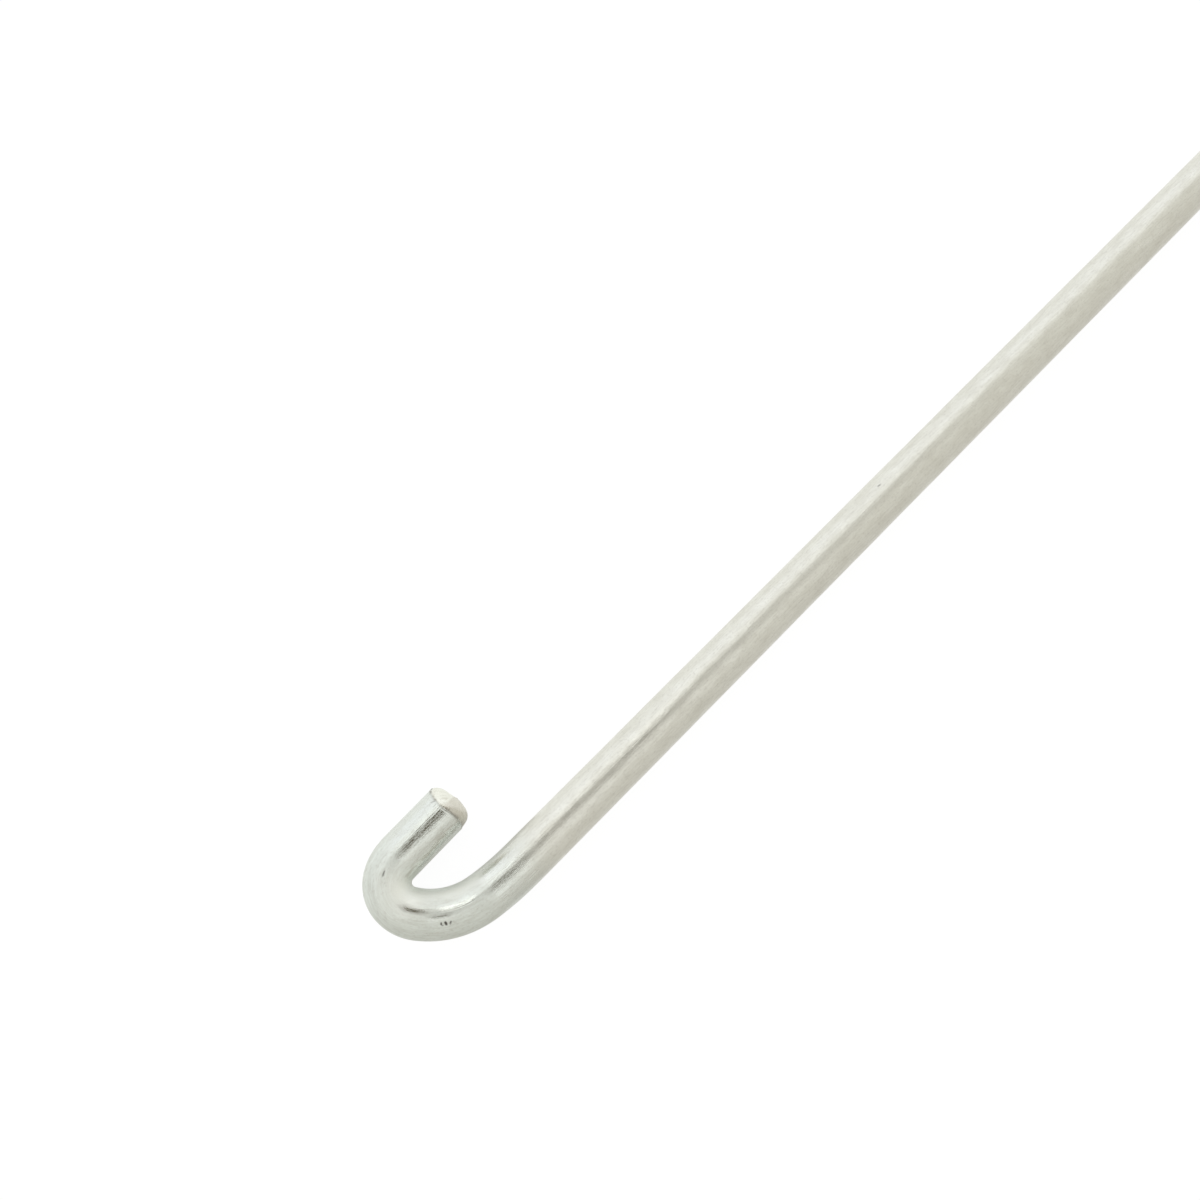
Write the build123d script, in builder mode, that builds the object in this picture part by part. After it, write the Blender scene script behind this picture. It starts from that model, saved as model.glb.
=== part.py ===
"""Cable needle: one length of round steel wire whose end is bent back into a J-shaped hook.

The needle lies flat, as it would on a table. The wire's axis is level, one wire radius above the table. The
straight shank runs along +X to a tapered point, and the short arm of the hook lies on the +Y side of it. The
origin is on the table, under the middle of the needle's outline.

The real needle is a single wire. It is made here in the four stretches that it is worked into, each cut
square to the wire's axis, so that neighbours meet face to face: the shank, the bend of the hook, the hook's
short arm with its rounded end, and the tapered point.
"""

import os
from math import cos, radians, sin, tan

from build123d import *

# Driving dimensions, in millimetres and degrees
wire_d = 4.0
overall_length = 125.0

# The bend tightens in three tangent arcs from the shank to the arm: radius of the wire's axis, and turn
lead_in_radius, lead_in_turn = 27.0, 8.7
open_radius, open_turn = 7.0, 50.1
tight_radius, tight_turn = 2.35, 119.7

# The short arm: its straight wire, and an end rounded to a low dome inside a narrow sheared shoulder
arm_length = 5.65
dome_height = 1.2
shoulder_width = 0.06

# The point: a slow curve out of the shank, a straight taper and a round nose
point_length = 14.0
taper_angle = radians(7)
taper_blend_radius = 40.0
nose_radius = 0.7

# The hook's outline, from the centres of its arcs
wire_r = wire_d / 2
lead_in_end = radians(lead_in_turn)
open_end = radians(lead_in_turn + open_turn)
arm_splay = radians(180 - lead_in_turn - open_turn - tight_turn)
lead_in_step = lead_in_radius - open_radius
open_step = open_radius - tight_radius

tight_centre_x = -lead_in_step * sin(lead_in_end) - open_step * sin(open_end)
tight_centre_y = lead_in_radius - lead_in_step * cos(lead_in_end) - open_step * cos(open_end)
hook_reach = tight_radius + wire_r - tight_centre_x
hook_width = wire_r + tight_centre_y + (tight_radius + wire_r) * cos(arm_splay) + arm_length * sin(arm_splay)

# Where the wire's axis passes from the shank to the bend, and from the shank to the point
shank_length = overall_length - hook_reach - point_length
bend_start = Vector(hook_reach - overall_length / 2, wire_r - hook_width / 2, wire_r)
point_start = bend_start + Vector(shank_length, 0)

os.makedirs("parts", exist_ok=True)

# Shank: the straight wire between the bend and the point
with BuildPart() as shank:
    with BuildSketch(Plane(origin=bend_start, z_dir=(1, 0, 0))):
        Circle(wire_r)
    extrude(amount=shank_length)
shank.part.label = "shank"
export_step(shank.part, "parts/shank.step")

# Bend of the hook: the wire swept round the three arcs, which take it away from the shank and back beside it
with BuildPart() as hook_bend:
    with BuildLine(Plane(origin=bend_start)) as bend_axis:
        lead_in = JernArc((0, 0), (-1, 0), lead_in_radius, -lead_in_turn)
        open_arc = JernArc(lead_in @ 1, lead_in % 1, open_radius, -open_turn)
        tight_arc = JernArc(open_arc @ 1, open_arc % 1, tight_radius, -tight_turn)
    with BuildSketch(Plane(origin=lead_in @ 0, z_dir=lead_in % 0)):
        Circle(wire_r)
    sweep(path=bend_axis.line)
hook_bend.part.label = "hook_bend"
export_step(hook_bend.part, "parts/hook_bend.step")

# Short arm of the hook: straight wire from the bend, and its domed end, which is turned about the arm's axis
arm_start = tight_arc @ 1
arm_direction = tight_arc % 1
dome_base = arm_start + arm_direction * arm_length
with BuildPart() as hook_arm:
    with BuildSketch(Plane(origin=arm_start, z_dir=arm_direction)):
        Circle(wire_r)
    extrude(amount=arm_length)
    with BuildSketch(Plane(origin=dome_base, x_dir=arm_direction)):
        with BuildLine():
            dome = EllipticalCenterArc((0, 0), dome_height, wire_r - shoulder_width, arc_size=90)
            Polyline(dome @ 0, (0, 0), dome @ 1)
        make_face()
    revolve(axis=Axis(dome_base, arm_direction))
hook_arm.part.label = "hook_arm"
export_step(hook_arm.part, "parts/hook_arm.step")

# Point: turned about the shank's axis, with a taper that touches the round nose without an edge
nose_centre = point_length - nose_radius
nose_touch = (nose_centre + nose_radius * sin(taper_angle), nose_radius * cos(taper_angle))
taper_start = nose_touch[0] - (wire_r - nose_touch[1]) / tan(taper_angle)
with BuildPart() as needle_point:
    with BuildSketch(Plane(origin=point_start)):
        with BuildLine():
            FilletPolyline((0, wire_r), (taper_start, wire_r), nose_touch, radius=taper_blend_radius)
            nose = RadiusArc(nose_touch, (point_length, 0), nose_radius)
            Polyline(nose @ 1, (0, 0), (0, wire_r))
        make_face()
    revolve(axis=Axis(point_start, (1, 0, 0)))
needle_point.part.label = "needle_point"
export_step(needle_point.part, "parts/needle_point.step")
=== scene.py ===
"""Cable needle: one bent steel wire, drawn bright and plated, lying on a pale table under soft studio light.

The wire is one seamless mesh. It is swept along the CAD model's own axis, so that its shank, bend, arm and
point lie where the four CAD nodes are. The mesh adds what the real wire shows: a bend that eases in and is
pressed a little flat, an arm end cropped and rounded by tumbling, and the small dents and scratches of use.
"""

import math

import bpy
import numpy as np
from mathutils import Matrix, Vector


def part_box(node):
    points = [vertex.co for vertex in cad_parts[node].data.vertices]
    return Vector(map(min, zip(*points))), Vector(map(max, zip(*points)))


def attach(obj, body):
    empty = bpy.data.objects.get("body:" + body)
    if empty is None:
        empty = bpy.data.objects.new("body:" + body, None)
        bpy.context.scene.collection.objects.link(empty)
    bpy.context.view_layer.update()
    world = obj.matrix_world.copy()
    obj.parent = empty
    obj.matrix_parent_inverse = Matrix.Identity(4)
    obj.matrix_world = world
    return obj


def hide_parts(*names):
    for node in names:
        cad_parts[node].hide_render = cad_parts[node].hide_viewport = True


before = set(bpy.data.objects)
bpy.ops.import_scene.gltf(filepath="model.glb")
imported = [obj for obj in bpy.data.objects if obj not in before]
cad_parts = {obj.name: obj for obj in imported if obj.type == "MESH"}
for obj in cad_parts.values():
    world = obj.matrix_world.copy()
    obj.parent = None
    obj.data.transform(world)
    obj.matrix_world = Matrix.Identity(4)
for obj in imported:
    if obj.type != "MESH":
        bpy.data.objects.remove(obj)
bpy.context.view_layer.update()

MM = 0.001

# The wire and its hook, in millimetres and degrees, as the CAD model makes them: (radius of the axis, turn)
BEND_ARCS = ((27.0, 8.7), (7.0, 50.1), (2.35, 119.7))
ARM_LENGTH = 5.65
DOME_HEIGHT = 1.2
TAPER_ANGLE = math.radians(7)
NOSE_RADIUS = 0.7
TAPER_BLEND = 5.0

# Vertices in each ring of the wire's mesh, and the seed of its unroundness
AROUND = 128
WOBBLE_SEED = 11

# Half the side of the table's sheets, in millimetres
FLOOR_HALF = 1500

# Where the CAD nodes put the wire, in millimetres
SHANK_LOW, SHANK_HIGH = (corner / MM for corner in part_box("shank"))
POINT_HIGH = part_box("needle_point")[1] / MM
WIRE_R = (SHANK_HIGH.z - SHANK_LOW.z) / 2
BEND_START = Vector((SHANK_LOW.x, (SHANK_LOW.y + SHANK_HIGH.y) / 2, (SHANK_LOW.z + SHANK_HIGH.z) / 2))
TIP_DISTANCE = POINT_HIGH.x - BEND_START.x


# ---------------------------------------------------------------- camera

def add_camera():
    """A close-up lens almost straight above the hook, with the shank running to the frame's top right."""
    place = BEND_START + Vector((0.70, 6.99, 90.7))
    looks_at = BEND_START + Vector((19.56, 10.93, 0.0))
    image_up = Vector((0.678, 0.7146, 0.1721))
    back = (place - looks_at).normalized()
    right = image_up.cross(back).normalized()
    turn = Matrix((right, back.cross(right), back)).transposed()
    camera = bpy.data.objects.new("camera", bpy.data.cameras.new("camera"))
    camera.matrix_world = Matrix.Translation(place * MM) @ turn.to_4x4()
    camera.data.sensor_width = 36.0
    camera.data.lens = 33.0
    camera.data.clip_start = 0.002
    bpy.context.scene.collection.objects.link(camera)
    bpy.context.scene.camera = camera
    return place


# ---------------------------------------------------------------- the wire's mesh

def smooth_step(x):
    """0 below 0, 1 above 1, and an easy curve between."""
    x = np.clip(x, 0.0, 1.0)
    return x * x * (3 - 2 * x)


def window(s, start, end, ease):
    """1 between start and end, falling to 0 over the distance ease centred on each of them."""
    return smooth_step((s - start) / ease + 0.5) - smooth_step((s - end) / ease + 0.5)


BEND_LENGTHS = [radius * math.radians(turn) for radius, turn in BEND_ARCS]
BEND_ENDS = [sum(BEND_LENGTHS[:i]) for i in range(4)]
BEND_LENGTH = BEND_ENDS[3]
ARM_END = BEND_LENGTH + ARM_LENGTH


def axis_at(stations):
    """Points and headings of the wire's axis, by distance along the wire from the bend's start.

    Distances grow from the shank into the bend and the arm, so the shank's are negative. The arcs' curvatures
    ease into each other, which keeps each arc's turn and leaves no line in a reflection.
    """
    step = 0.01
    s = np.arange(-4.0, ARM_END + DOME_HEIGHT + 1.0, step)
    curvature = np.zeros_like(s)
    for (radius, _), start, end in zip(BEND_ARCS, BEND_ENDS, BEND_ENDS[1:]):
        ease = min(1.6, 0.9 * (end - start))
        curvature += window(s, start, end, ease) / radius
    heading = math.pi - np.concatenate(([0.0], np.cumsum((curvature[1:] + curvature[:-1]) / 2 * step)))
    middle = (heading[1:] + heading[:-1]) / 2
    x = -s[0] + np.concatenate(([0.0], np.cumsum(np.cos(middle) * step)))
    y = np.concatenate(([0.0], np.cumsum(np.sin(middle) * step)))
    on_shank = stations < s[0]
    px = np.where(on_shank, -stations, np.interp(stations, s, x))
    py = np.where(on_shank, 0.0, np.interp(stations, s, y))
    ph = np.where(on_shank, math.pi, np.interp(stations, s, heading))
    return px, py, ph


def point_radius(to_tip):
    """The wire's radius by distance from the needle's tip: a round nose, a straight taper, then full wire."""
    touch = NOSE_RADIUS * (1 - math.sin(TAPER_ANGLE))
    nose = np.sqrt(np.clip(NOSE_RADIUS**2 - (NOSE_RADIUS - to_tip) ** 2, 0, None))
    taper = NOSE_RADIUS * math.cos(TAPER_ANGLE) + (to_tip - touch) * math.tan(TAPER_ANGLE)
    full_at = touch + (WIRE_R - NOSE_RADIUS * math.cos(TAPER_ANGLE)) / math.tan(TAPER_ANGLE)
    t = np.clip((to_tip - full_at + TAPER_BLEND / 2) / TAPER_BLEND, 0, 1)
    eased = taper - math.tan(TAPER_ANGLE) * TAPER_BLEND / 2 * t * t
    body = np.where(to_tip > full_at + TAPER_BLEND / 2, WIRE_R, eased)
    return np.where(to_tip < touch, nose, body)


def wire_stations():
    """Where the mesh's rings are: close together round the hook and at both ends, wider along the shank."""
    nose = -TIP_DISTANCE + NOSE_RADIUS * (1 - np.cos(np.radians(np.arange(9, 82, 9))))
    point = np.arange(nose[-1] + 0.1, -TIP_DISTANCE + 15.0, 0.3)
    shank = np.arange(point[-1] + 0.35, -8.0, 0.4)
    near_hook = np.arange(shank[-1] + 0.3, -1.0, 0.2)
    hook = np.arange(near_hook[-1] + 0.13, 6.9, 0.13)
    nicked = np.arange(hook[-1] + 0.06, 8.7, 0.06)
    bend = np.arange(nicked[-1] + 0.13, ARM_END - 0.6, 0.13)
    edge = ARM_END - np.array([0.48, 0.40, 0.32, 0.25, 0.19, 0.14, 0.10, 0.06, 0.03, 0.0, -0.03, -0.06])
    dome = ARM_END + DOME_HEIGHT * np.sin(np.radians(np.arange(6, 89, 5)))
    return np.concatenate((nose, point, shank, near_hook, hook, nicked, bend, edge, dome))


# Dents and nicks: distance along the wire from the bend's start in mm, angle round it in degrees from the
# outside of the bend over the top, then length, width and depth in mm and the way it runs in degrees
NICKS = (
    (7.66, 75, 0.14, 0.060, 0.060, 100),
    (7.58, 71, 0.09, 0.050, 0.045, 30),
    (7.32, 74, 0.17, 0.085, 0.085, 75),
    (6.98, 74, 0.17, 0.060, 0.060, 120),
    (14.1, 82, 0.26, 0.09, 0.045, 0),
    (13.5, 90, 0.55, 0.05, 0.020, -20),
    (-44.1, 128, 0.26, 0.080, 0.050, 12),
    (-43.5, 117, 0.12, 0.080, 0.025, 0),
    (-46.2, 121, 0.20, 0.10, 0.012, 30),
    (-35.5, 103, 0.20, 0.09, 0.022, -6),
    (-24.9, 97, 0.20, 0.10, 0.020, -8),
    (-62.0, 60, 0.35, 0.09, 0.020, 12),
    (-78.0, 120, 0.30, 0.10, 0.020, -10),
    (-20.0, 215, 0.60, 0.12, 0.040, 5),
    (-55.0, 290, 0.50, 0.12, 0.040, -5),
    (3.0, 250, 0.40, 0.12, 0.040, 20),
    (-92.0, 300, 0.50, 0.10, 0.035, 0),
)
SCRATCHES = (
    (8.6, 48, 1.10, 0.040, 0.020, -33),
    (4.2, 54, 0.75, 0.040, 0.018, 36),
    (16.5, 118, 1.30, 0.035, 0.014, 2),
    (17.6, 127, 1.10, 0.030, 0.014, -3),
    (18.6, 136, 1.20, 0.035, 0.014, 3),
    (19.4, 121, 0.90, 0.030, 0.012, -2),
    (20.2, 143, 0.60, 0.035, 0.016, 5),
    (20.55, 55, 0.30, 0.060, 0.034, 30),
    (20.35, 64, 0.30, 0.050, 0.030, 5),
    (20.30, 72, 0.22, 0.050, 0.026, -15),
    (15.2, 133, 1.00, 0.030, 0.012, 4),
    (-12.0, 70, 2.40, 0.030, 0.010, 6),
    (-30.0, 55, 2.00, 0.030, 0.010, -5),
    (-50.0, 75, 2.60, 0.030, 0.010, 4),
)


def angle_past(angle, around):
    """How far each angle is past the one given in degrees, in radians from -pi to pi."""
    return np.mod(angle - math.radians(around) + math.pi, 2 * math.pi) - math.pi


def nick_depth(s, angle):
    """How deep the nicks and scratches go at each vertex, in mm."""
    depth = np.zeros_like(s)
    for at, around, length, width, deep, run in NICKS + SCRATCHES:
        along = s - at
        across = angle_past(angle, around) * WIRE_R
        turn = math.radians(run)
        u = (along * math.cos(turn) + across * math.sin(turn)) / length
        v = (-along * math.sin(turn) + across * math.cos(turn)) / width
        depth += deep * np.exp(-(u**4) - v**2)
    return depth


# Where the bending tool pressed the wire: distance along it and angle round it as above, then the half
# lengths along it in mm and round it in degrees, and how far the surface stands out in mm
PRESSED = (
    (6.3, 86, 2.1, 15, 0.045),
    (6.3, 121, 2.1, 16, -0.050),
    (12.9, 62, 1.3, 22, 0.040),
    (12.9, 104, 1.3, 20, -0.025),
    (18.4, 89, 3.0, 14, -0.026),
    (7.0, 300, 2.0, 25, -0.040),
    (12.0, 280, 1.5, 22, -0.040),
)

# Where it, or use, rubbed the plating to a polish, where a painted sheen lightens the inside of the bend, and
# where the plating is scuffed along the wire: the same, and how much
POLISHED = (
    (6.1, 106, 2.2, 10, 1.0),
    (7.7, 88, 1.0, 7, 0.85),
    (9.8, 103, 1.3, 10, 0.85),
    (18.6, 88, 3.3, 24, 1.0),
)
PAINTED_SHEEN = (
    (11.7, 122, 2.6, 40, 1.0),
    (5.8, 142, 4.4, 20, 1.0),
)
SCUFFED = (
    (18.8, 138, 2.6, 22, 1.0),
    (15.4, 140, 1.0, 20, 0.6),
)


def patches(table, s, angle):
    """The sum at each vertex of soft-edged patches on the wire's surface."""
    total = np.zeros_like(s)
    for at, around, half_length, half_turn, height in table:
        along = (s - at) / half_length
        across = angle_past(angle, around) / math.radians(half_turn)
        total += height * np.exp(-(np.abs(along) ** 3) - across**2)
    return total


# The waves of the wire's unroundness: how many go round it, then their length along it and height in mm
WOBBLES = (
    (2, 90, 0.007),
    (3, 47, 0.004),
    (4, 23, 0.0025),
    (5, 13, 0.002),
    (7, 9, 0.001),
)


def section_wobble(s, angle):
    """The slight unroundness of cold-worked wire, in mm: a few slow waves along and round it."""
    random = np.random.default_rng(WOBBLE_SEED)
    total = np.zeros_like(s)
    for lobes, length, height in WOBBLES:
        for _ in range(2):
            drift, phase = random.uniform(0, 2 * math.pi, 2)
            total += height * np.cos(lobes * angle + phase + np.sin(2 * math.pi * s / length + drift))
    return total


def worn_radius(s, a, past_end):
    """The wire's radius at each vertex: its point, its rounded arm end, its wear and the cropping's burr."""
    radius = point_radius(s + TIP_DISTANCE)
    radius = radius - 0.07 * smooth_step((s - ARM_END + 0.03) / 0.05)
    radius = radius * np.sqrt(1 - past_end**2)
    body = 1 - smooth_step(past_end * 3)
    radius += section_wobble(s, a) * body * smooth_step((s + TIP_DISTANCE) / 8)
    radius += (patches(PRESSED, s, a) - nick_depth(s, a)) * body
    radius += np.exp(-(((s - ARM_END + 0.09) / 0.06) ** 2)) * (0.5 + 0.5 * np.cos(3 * a + 1.0)) * 0.020
    return radius


def end_shift(s, a, past_end):
    """How far each vertex of the cropped end is moved along the wire, in mm.

    The end isn't quite square, its edge wanders, and its dome keeps a trace of the two jaws' faces.
    """
    near_end = smooth_step((s - ARM_END + 1.4) / 1.4) * (1 - past_end**2)
    skew = near_end * (0.27 * np.cos(a) + 0.035 * np.cos(2 * a + 0.7) + 0.022 * np.cos(5 * a + 2.1))
    skew += near_end * (0.012 * np.cos(11 * a + 0.4) - 0.25 * np.sin(2 * a))
    across = np.cos(a) * np.sqrt(np.clip(1 - past_end**2, 0, 1))
    jaws = 0.24 * smooth_step((-across - 0.2) / 0.7) - 0.17 * smooth_step((across + 0.25) / 0.7)
    return skew + jaws * smooth_step(past_end * 2.5)


def wire_rings(stations, s, a):
    """The vertices of the rings, in mm."""
    past_end = np.clip((s - ARM_END) / DOME_HEIGHT, 0, 1)
    radius = worn_radius(s, a, past_end)

    # Cold bending presses the outside of the tight arc flat and lets the top and bottom swell a little
    tight = window(s, BEND_ENDS[2] + 0.3, BEND_ENDS[3] - 0.2, 2.0)
    sideways = radius * np.cos(a) * (1 - 0.045 * tight * (np.cos(a) > 0) - 0.015 * tight)
    upwards = radius * np.sin(a) * (1 + 0.008 * tight)

    shift = end_shift(s, a, past_end)
    cx, cy, h = (np.repeat(v[:, None], AROUND, axis=1) for v in axis_at(stations))
    x = BEND_START.x + cx + shift * np.cos(h) - sideways * np.sin(h)
    y = BEND_START.y + cy + shift * np.sin(h) + sideways * np.cos(h)
    z = BEND_START.z + upwards
    return np.stack((x, y, z), axis=-1).reshape(-1, 3)


def wire_faces(count):
    """Four-sided faces between the rings, and a fan of triangles at each end round its own middle vertex."""
    faces = []
    for i in range(count - 1):
        low, high = i * AROUND, (i + 1) * AROUND
        for j in range(AROUND):
            k = (j + 1) % AROUND
            faces.append((low + j, low + k, high + k, high + j))
    tip_index, end_index = count * AROUND, count * AROUND + 1
    last = (count - 1) * AROUND
    for j in range(AROUND):
        k = (j + 1) % AROUND
        faces.append((tip_index, k, j))
        faces.append((end_index, last + j, last + k))
    return faces


def keep_attributes(mesh, own_space, nick_shade_depth):
    """The wire's own coordinates, its wear, and the masks of the painted shade in its crease and nicks and of
    the painted sheen inside the bend, kept at each vertex for the material.
    """
    along = own_space[:, 0]
    round_it = np.arctan2(own_space[:, 2], own_space[:, 1])
    cut = smooth_step((along - ARM_END + 0.02) / 0.06)
    dome_x = np.sqrt(np.clip(1 - ((along - ARM_END) / DOME_HEIGHT) ** 2, 0, 1)) * np.cos(round_it)
    values = {
        "hook": smooth_step((along + 3.0) / 5.0),
        "strain": window(along, BEND_ENDS[1] - 0.6, BEND_LENGTH + 0.7, 1.8),
        "polished": np.clip(patches(POLISHED, along, round_it), 0, 1),
        # the painted sheen on the inside of the bend
        "bright": np.clip(patches(PAINTED_SHEEN, along, round_it), 0, 1),
        "scuffed": np.clip(patches(SCUFFED, along, round_it), 0, 1),
        "second_jaw": cut * smooth_step((0.12 - dome_x + 0.1 * np.sin(round_it)) / 0.12),
        "cut_end": cut,
        "crease": np.exp(-(((along - ARM_END) / 0.12) ** 2)),
        "nick": nick_shade_depth,
    }
    mesh.attributes.new("wire_space", "FLOAT_VECTOR", "POINT").data.foreach_set("vector", own_space.ravel())
    for name, value in values.items():
        mesh.attributes.new(name, "FLOAT", "POINT").data.foreach_set("value", value)


def build_wire():
    """The wire as one closed mesh: rings along its axis, and one vertex that closes each end."""
    stations = wire_stations()
    angle = np.linspace(0, 2 * math.pi, AROUND, endpoint=False)
    s, a = np.meshgrid(stations, angle, indexing="ij")
    rings = wire_rings(stations, s, a)
    own_space = np.stack((s, WIRE_R * np.cos(a), WIRE_R * np.sin(a)), axis=-1).reshape(-1, 3)
    nick_shade_depth = nick_depth(s, a).reshape(-1)

    tip = np.array([[POINT_HIGH.x, BEND_START.y, BEND_START.z]])
    end_x, end_y, _ = (v[0] for v in axis_at(np.array([ARM_END + DOME_HEIGHT])))
    end = np.array([[BEND_START.x + end_x, BEND_START.y + end_y, BEND_START.z]])
    points = np.concatenate((rings, tip, end)) * MM
    own_space = np.concatenate((own_space, [[-TIP_DISTANCE, 0, 0], [ARM_END + DOME_HEIGHT, 0, 0]]))
    nick_shade_depth = np.concatenate((nick_shade_depth, [0, 0]))

    mesh = bpy.data.meshes.new("needle_wire")
    mesh.from_pydata(points.tolist(), [], wire_faces(len(stations)))
    mesh.validate()
    keep_attributes(mesh, own_space, nick_shade_depth)
    mesh.polygons.foreach_set("use_smooth", [True] * len(mesh.polygons))
    wire = bpy.data.objects.new("needle_wire", mesh)
    bpy.context.scene.collection.objects.link(wire)
    return wire


# ---------------------------------------------------------------- the wire's material

class Nodes:
    """Short forms for building a node tree."""

    def __init__(self, tree):
        self.tree = tree
        tree.nodes.clear()

    def add(self, kind, **settings):
        node = self.tree.nodes.new(kind)
        inputs = settings.pop("inputs", {})
        for name, value in settings.items():
            setattr(node, name, value)
        for name, value in inputs.items():
            self.set(node, name, value)
        return node

    def set(self, node, name, value):
        socket = node.inputs[name]
        if isinstance(value, bpy.types.NodeSocket):
            self.tree.links.new(value, socket)
        else:
            socket.default_value = value

    def attribute(self, name, output="Fac"):
        return self.add("ShaderNodeAttribute", attribute_name=name).outputs[output]

    def math(self, operation, *values):
        node = self.add("ShaderNodeMath", operation=operation)
        for i, value in enumerate(values):
            self.set(node, i, value)
        return node.outputs[0]

    def stretched(self, vector, scale):
        return self.add("ShaderNodeMapping", inputs={"Vector": vector, "Scale": scale}).outputs[0]

    def noise(self, vector, scale, detail=3.0, roughness=0.5):
        inputs = {"Vector": vector, "Scale": scale, "Detail": detail, "Roughness": roughness}
        return self.add("ShaderNodeTexNoise", inputs=inputs).outputs["Fac"]

    def ranged(self, value, low, high, to_low, to_high):
        inputs = {0: value, 1: low, 2: high, 3: to_low, 4: to_high}
        return self.add("ShaderNodeMapRange", inputs=inputs).outputs[0]

    def mix(self, factor, first, second):
        inputs = {0: factor, 6: first, 7: second}
        return self.add("ShaderNodeMix", data_type="RGBA", inputs=inputs).outputs[2]

    def emission(self, colour, strength):
        inputs = {"Color": colour, "Strength": strength}
        return self.add("ShaderNodeEmission", inputs=inputs).outputs[0]

    def place_on_sheet(self):
        position = self.add("ShaderNodeNewGeometry").outputs["Position"]
        return self.add("ShaderNodeSeparateXYZ", inputs={0: position}).outputs[:2]

    def surface(self, shader, output="ShaderNodeOutputMaterial"):
        self.add(output, inputs={"Surface": shader})


def new_material(name):
    """A material with an empty node tree, and the short forms for filling it."""
    material = bpy.data.materials.new(name)
    material.use_nodes = True
    return material, Nodes(material.node_tree)


def plating_colour(n, place, mottle, grain, speckle):
    """The plating's colour: warm along the shank and cooler round the hook, with its streaks and scuffs, and
    a painted sheen inside the bend.
    """
    patchy = n.ranged(mottle, 0.35, 0.68, 0, 1)
    shank_colour = n.mix(patchy, (0.826, 0.821, 0.766, 1), (0.750, 0.740, 0.680, 1))
    hook_colour = n.mix(patchy, (0.795, 0.828, 0.793, 1), (0.735, 0.760, 0.722, 1))
    colour = n.mix(n.attribute("hook"), shank_colour, hook_colour)
    colour = n.mix(n.ranged(grain, 0.42, 0.66, 0.0, 0.30), colour, (0.58, 0.56, 0.51, 1))
    colour = n.mix(n.ranged(speckle, 0.52, 0.74, 0.0, 0.36), colour, (0.48, 0.46, 0.42, 1))
    # Painted sheen: the inside of the bend is painted near white where a bright reflection falls on it
    colour = n.mix(n.math("MULTIPLY", n.attribute("bright"), 0.85), colour, (0.98, 0.99, 0.95, 1))
    scuffs = n.noise(n.stretched(place, (0.22, 1.0, 1.0)), 4.5, 3.0, 0.6)
    scuffs = n.math("MULTIPLY", n.attribute("scuffed"), n.ranged(scuffs, 0.48, 0.60, 0.0, 0.75))
    return n.mix(scuffs, colour, (0.50, 0.485, 0.43, 1))


def cropped_end_colour(n, place, colour):
    """The colour with the cropped end's two bare faces, painted shade in the crease at its edge, and painted
    shade in the nicks.
    """
    facets = n.mix(n.attribute("second_jaw"), (0.89, 0.89, 0.82, 1), (0.70, 0.675, 0.605, 1))
    facets = n.mix(n.ranged(n.noise(place, 2.4, 4.0), 0.5, 0.7, 0.0, 0.5), facets, (0.60, 0.58, 0.50, 1))
    colour = n.mix(n.attribute("cut_end"), colour, facets)
    # Painted shade: the crease where the cropped end meets the wire is darkened unevenly, as if shade falls
    # in it
    crease_shade = n.ranged(n.noise(place, 1.6, 3.0), 0.42, 0.56, 0.35, 1.0)
    crease_shade = n.math("MULTIPLY", n.attribute("crease"), crease_shade)
    colour = n.mix(n.math("MULTIPLY", crease_shade, 0.75), colour, (0.22, 0.20, 0.17, 1))
    # Painted shade: the nicks are darkened towards black the deeper they go
    return n.mix(n.ranged(n.attribute("nick"), 0.010, 0.050, 0.0, 0.92), colour, (0.10, 0.09, 0.08, 1))


def wire_roughness(n, mottle, grain):
    """Satin along the shank, burnished round the hook, and duller where it was strained or cut."""
    satin = n.ranged(mottle, 0.3, 0.7, 0.27, 0.36)
    burnished = n.ranged(mottle, 0.3, 0.7, 0.20, 0.26)
    strained = n.math("MULTIPLY", n.attribute("strain"), n.ranged(mottle, 0.35, 0.65, 0.30, 0.40))
    dull = n.math("ADD", burnished, strained)
    burnished = n.ranged(n.attribute("polished"), 0.0, 1.0, dull, 0.08)
    inputs = {0: n.attribute("hook"), 2: satin, 3: burnished}
    rough = n.add("ShaderNodeMix", data_type="FLOAT", inputs=inputs).outputs[0]
    rough = n.math("ADD", rough, n.ranged(grain, 0.45, 0.7, 0.0, 0.10))
    return n.math("ADD", rough, n.math("MULTIPLY", n.attribute("cut_end"), 0.16))


def wire_material():
    """Bright-plated drawn steel: satin and mottled along the shank, burnished by the tool round the hook."""
    material, n = new_material("plated_steel_wire")
    place = n.attribute("wire_space", "Vector")
    grain = n.noise(n.stretched(place, (0.10, 1.0, 1.0)), 7.0, 5.0, 0.62)
    die_lines = n.noise(n.stretched(place, (0.015, 1.0, 1.0)), 11.0, 3.0, 0.6)
    mottle = n.noise(n.stretched(place, (0.45, 1.0, 1.0)), 1.1, 4.0, 0.6)
    speckle = n.noise(n.stretched(place, (0.7, 1.0, 1.0)), 6.0, 3.0, 0.6)

    colour = cropped_end_colour(n, place, plating_colour(n, place, mottle, grain, speckle))
    rough = wire_roughness(n, mottle, grain)
    height = n.math("ADD", n.math("MULTIPLY", grain, 0.5), n.math("MULTIPLY", die_lines, 0.9))
    height = n.math("ADD", height, n.math("MULTIPLY", speckle, 0.35))
    inputs = {"Height": height, "Strength": 0.6, "Distance": 0.00003}
    bump = n.add("ShaderNodeBump", inputs=inputs).outputs[0]
    inputs = {"Metallic": 1.0, "Base Color": colour, "Roughness": rough, "Normal": bump}
    n.surface(n.add("ShaderNodeBsdfPrincipled", inputs=inputs).outputs[0])
    return material


# ---------------------------------------------------------------- studio

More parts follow.
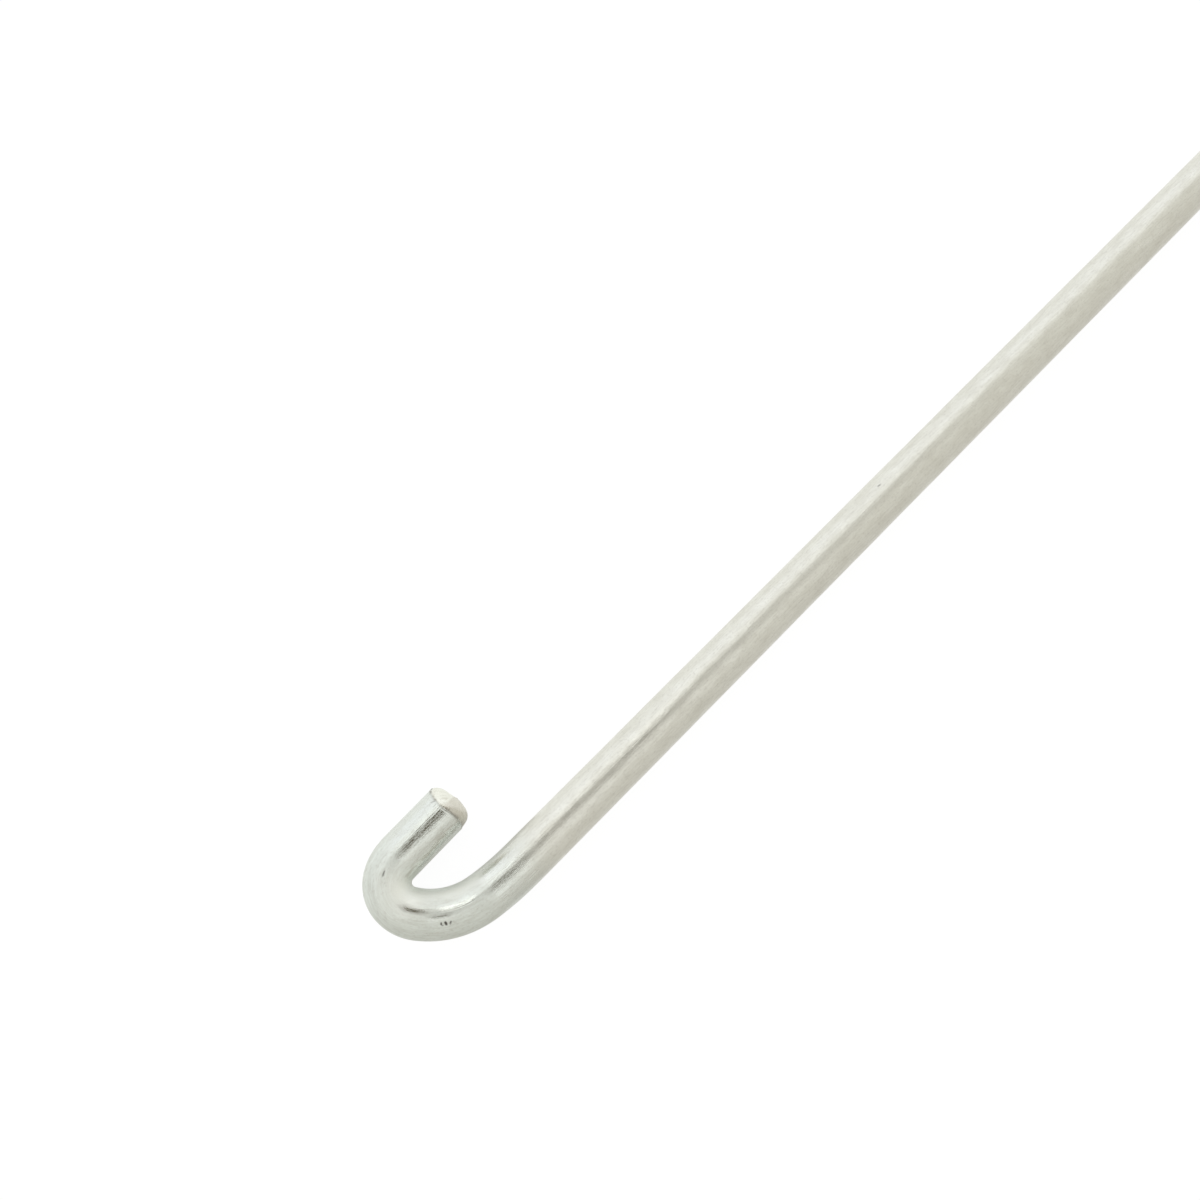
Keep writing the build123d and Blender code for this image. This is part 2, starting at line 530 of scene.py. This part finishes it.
def flat_disc(name, centre, radius_x, radius_y, height, squareness=2.0):
    """A level card for the studio: an ellipse, or a round-cornered rectangle above a squareness of 2."""
    points = []
    for i in range(96):
        c, s = math.cos(2 * math.pi * i / 96), math.sin(2 * math.pi * i / 96)
        reach = (abs(c) ** squareness + abs(s) ** squareness) ** (-1 / squareness)
        points.append(Vector((centre[0] + radius_x * reach * c, centre[1] + radius_y * reach * s, height)))
    mesh = bpy.data.meshes.new(name)
    mesh.from_pydata([p * MM for p in points], [], [list(range(96))])
    card = bpy.data.objects.new(name, mesh)
    bpy.context.scene.collection.objects.link(card)
    return card


def emitting(name, colour, strength=1.0):
    """A material that gives off one even tone."""
    material, n = new_material(name)
    n.surface(n.emission(colour, strength))
    return material


def square(name, half, height):
    """A level square sheet, centred under the needle, for the studio."""
    mesh = bpy.data.meshes.new(name)
    corners = [(-half, -half, height), (half, -half, height), (half, half, height), (-half, half, height)]
    mesh.from_pydata([Vector(c) * MM for c in corners], [], [(0, 1, 2, 3)])
    sheet = bpy.data.objects.new(name, mesh)
    bpy.context.scene.collection.objects.link(sheet)
    return sheet


def floor_material():
    """White enough to lose its edges in the picture, and matt enough to take a faint shadow."""
    material, n = new_material("floor")
    matt = n.add("ShaderNodeBsdfDiffuse", inputs={"Color": (0.12, 0.12, 0.12, 1)}).outputs[0]
    lit = n.emission((1, 1, 1, 1), 0.92)
    n.surface(n.add("ShaderNodeAddShader", inputs={0: matt, 1: lit}).outputs[0])
    return material


def mirrored_floor_material():
    """The table's light and shade in the wire, painted on: bright on the window's side, dimmer opposite,
    dimmest by the hook.
    """
    material, n = new_material("mirrored_floor")
    x, y = n.place_on_sheet()
    beside_hook = n.math("MINIMUM", n.math("SUBTRACT", x, (BEND_START.x - 2) * MM), 0.0)
    beside_shank = n.math("SUBTRACT", y, BEND_START.y * MM)
    side = n.ranged(n.math("MULTIPLY_ADD", beside_hook, 0.45, beside_shank), -0.009, 0.003, 0, 1)
    along_shank = n.ranged(x, (BEND_START.x - 1) * MM, (BEND_START.x + 5) * MM, 0, 1)
    dim = n.mix(along_shank, (0.60, 0.59, 0.545, 1), (0.685, 0.675, 0.63, 1))
    n.surface(n.emission(n.mix(side, dim, (0.98, 0.99, 0.96, 1)), 1.0))
    return material


def add_floor():
    """A pale lit table in the plane that the wire rests on, which keeps only the faintest shadow.

    Its light and shade in the wire's reflections are painted on a sheet of its own, with the shade between
    the hook's arm and the shank painted on a second one.
    """
    floor = square("floor", FLOOR_HALF, 0)
    floor.data.materials.append(floor_material())
    floor.visible_glossy = False

    mirrored = square("mirrored_floor", FLOOR_HALF, -0.05)
    mirrored.data.materials.append(mirrored_floor_material())
    shade = flat_disc("shade_in_hook", (BEND_START.x - 2.6, BEND_START.y + 3.6), 6.0, 2.0, -0.03)
    shade.data.materials.append(emitting("shade_in_hook", (0.64, 0.64, 0.60, 1)))
    for sheet in (mirrored, shade):
        hide_but_mirror(sheet)
    return floor, mirrored, shade


def hide_but_mirror(card):
    """The card shows only in reflections."""
    card.visible_camera = False
    card.visible_diffuse = False
    card.visible_shadow = False


def add_surroundings():
    """A white tent, brighter on the +Y side, where the window light comes from, and dimmer opposite."""
    world = bpy.data.worlds.new("tent")
    bpy.context.scene.world = world
    world.use_nodes = True
    n = Nodes(world.node_tree)
    direction = n.add("ShaderNodeTexCoord").outputs["Generated"]
    inputs = {0: direction, 1: (0.30, 0.93, 0.20)}
    facing = n.add("ShaderNodeVectorMath", operation="DOT_PRODUCT", inputs=inputs).outputs["Value"]
    inputs = {0: facing, 1: -0.15, 2: 0.55, 3: 0.0, 4: 1.0}
    side = n.add("ShaderNodeMapRange", interpolation_type="SMOOTHSTEP", inputs=inputs).outputs[0]
    colour = n.mix(side, (0.70, 0.69, 0.64, 1), (1.05, 1.065, 1.07, 1))
    background = n.add("ShaderNodeBackground", inputs={"Color": colour, "Strength": 1.0}).outputs[0]
    n.surface(background, "ShaderNodeOutputWorld")


def panel_material(lens):
    """The overhead panel's tone: dimmer along the shank and at its near edge, and brightest by the window."""
    material, n = new_material("overhead_panel")
    x, y = n.place_on_sheet()
    away = n.ranged(x, (lens.x + 10) * MM, (lens.x + 90) * MM, 0, 1)
    middle = n.mix(away, (0.94, 0.94, 0.90, 1), (0.75, 0.745, 0.69, 1))
    near_side = n.ranged(y, (lens.y - 112) * MM, (lens.y - 66) * MM, 0, 1)
    colour = n.mix(near_side, (0.72, 0.71, 0.66, 1), middle)
    window_side = n.ranged(y, (lens.y + 34) * MM, (lens.y + 60) * MM, 0, 1)
    n.surface(n.emission(n.mix(window_side, colour, (1.10, 1.11, 1.07, 1)), 1.0))
    return material


def add_studio(lens):
    """What is above the wire and shows in it: a soft overhead panel with a lamp's glow, and the dark lens."""
    panel = flat_disc("overhead_panel", (lens.x + 60, lens.y), 200, 105, lens.z + 9, 3.0)
    panel.data.materials.append(panel_material(lens))
    glow = flat_disc("lamp_glow", (lens.x + 23, lens.y + 57), 15, 13, lens.z + 7)
    glow.data.materials.append(emitting("lamp_glow", (1, 1, 0.96, 1), 1.9))
    lens_card = flat_disc("lens_front", (lens.x + 8, lens.y + 13), 29, 21, lens.z + 4, 3.0)
    lens_card.data.materials.append(emitting("lens_front", (0.075, 0.06, 0.03, 1)))
    body = flat_disc("camera_body", (lens.x + 70, lens.y + 14), 42, 18, lens.z + 5, 3.0)
    body.data.materials.append(emitting("camera_body", (0.52, 0.51, 0.47, 1)))
    cards = (panel, glow, lens_card, body)
    for card in cards:
        hide_but_mirror(card)
    return cards


camera_place = add_camera()
wire = build_wire()
wire.data.materials.append(wire_material())
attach(wire, "root")
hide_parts("shank", "hook_bend", "hook_arm", "needle_point")

add_surroundings()
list(add_floor())
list(add_studio(camera_place))
bpy.context.scene.view_settings.view_transform = "Standard"
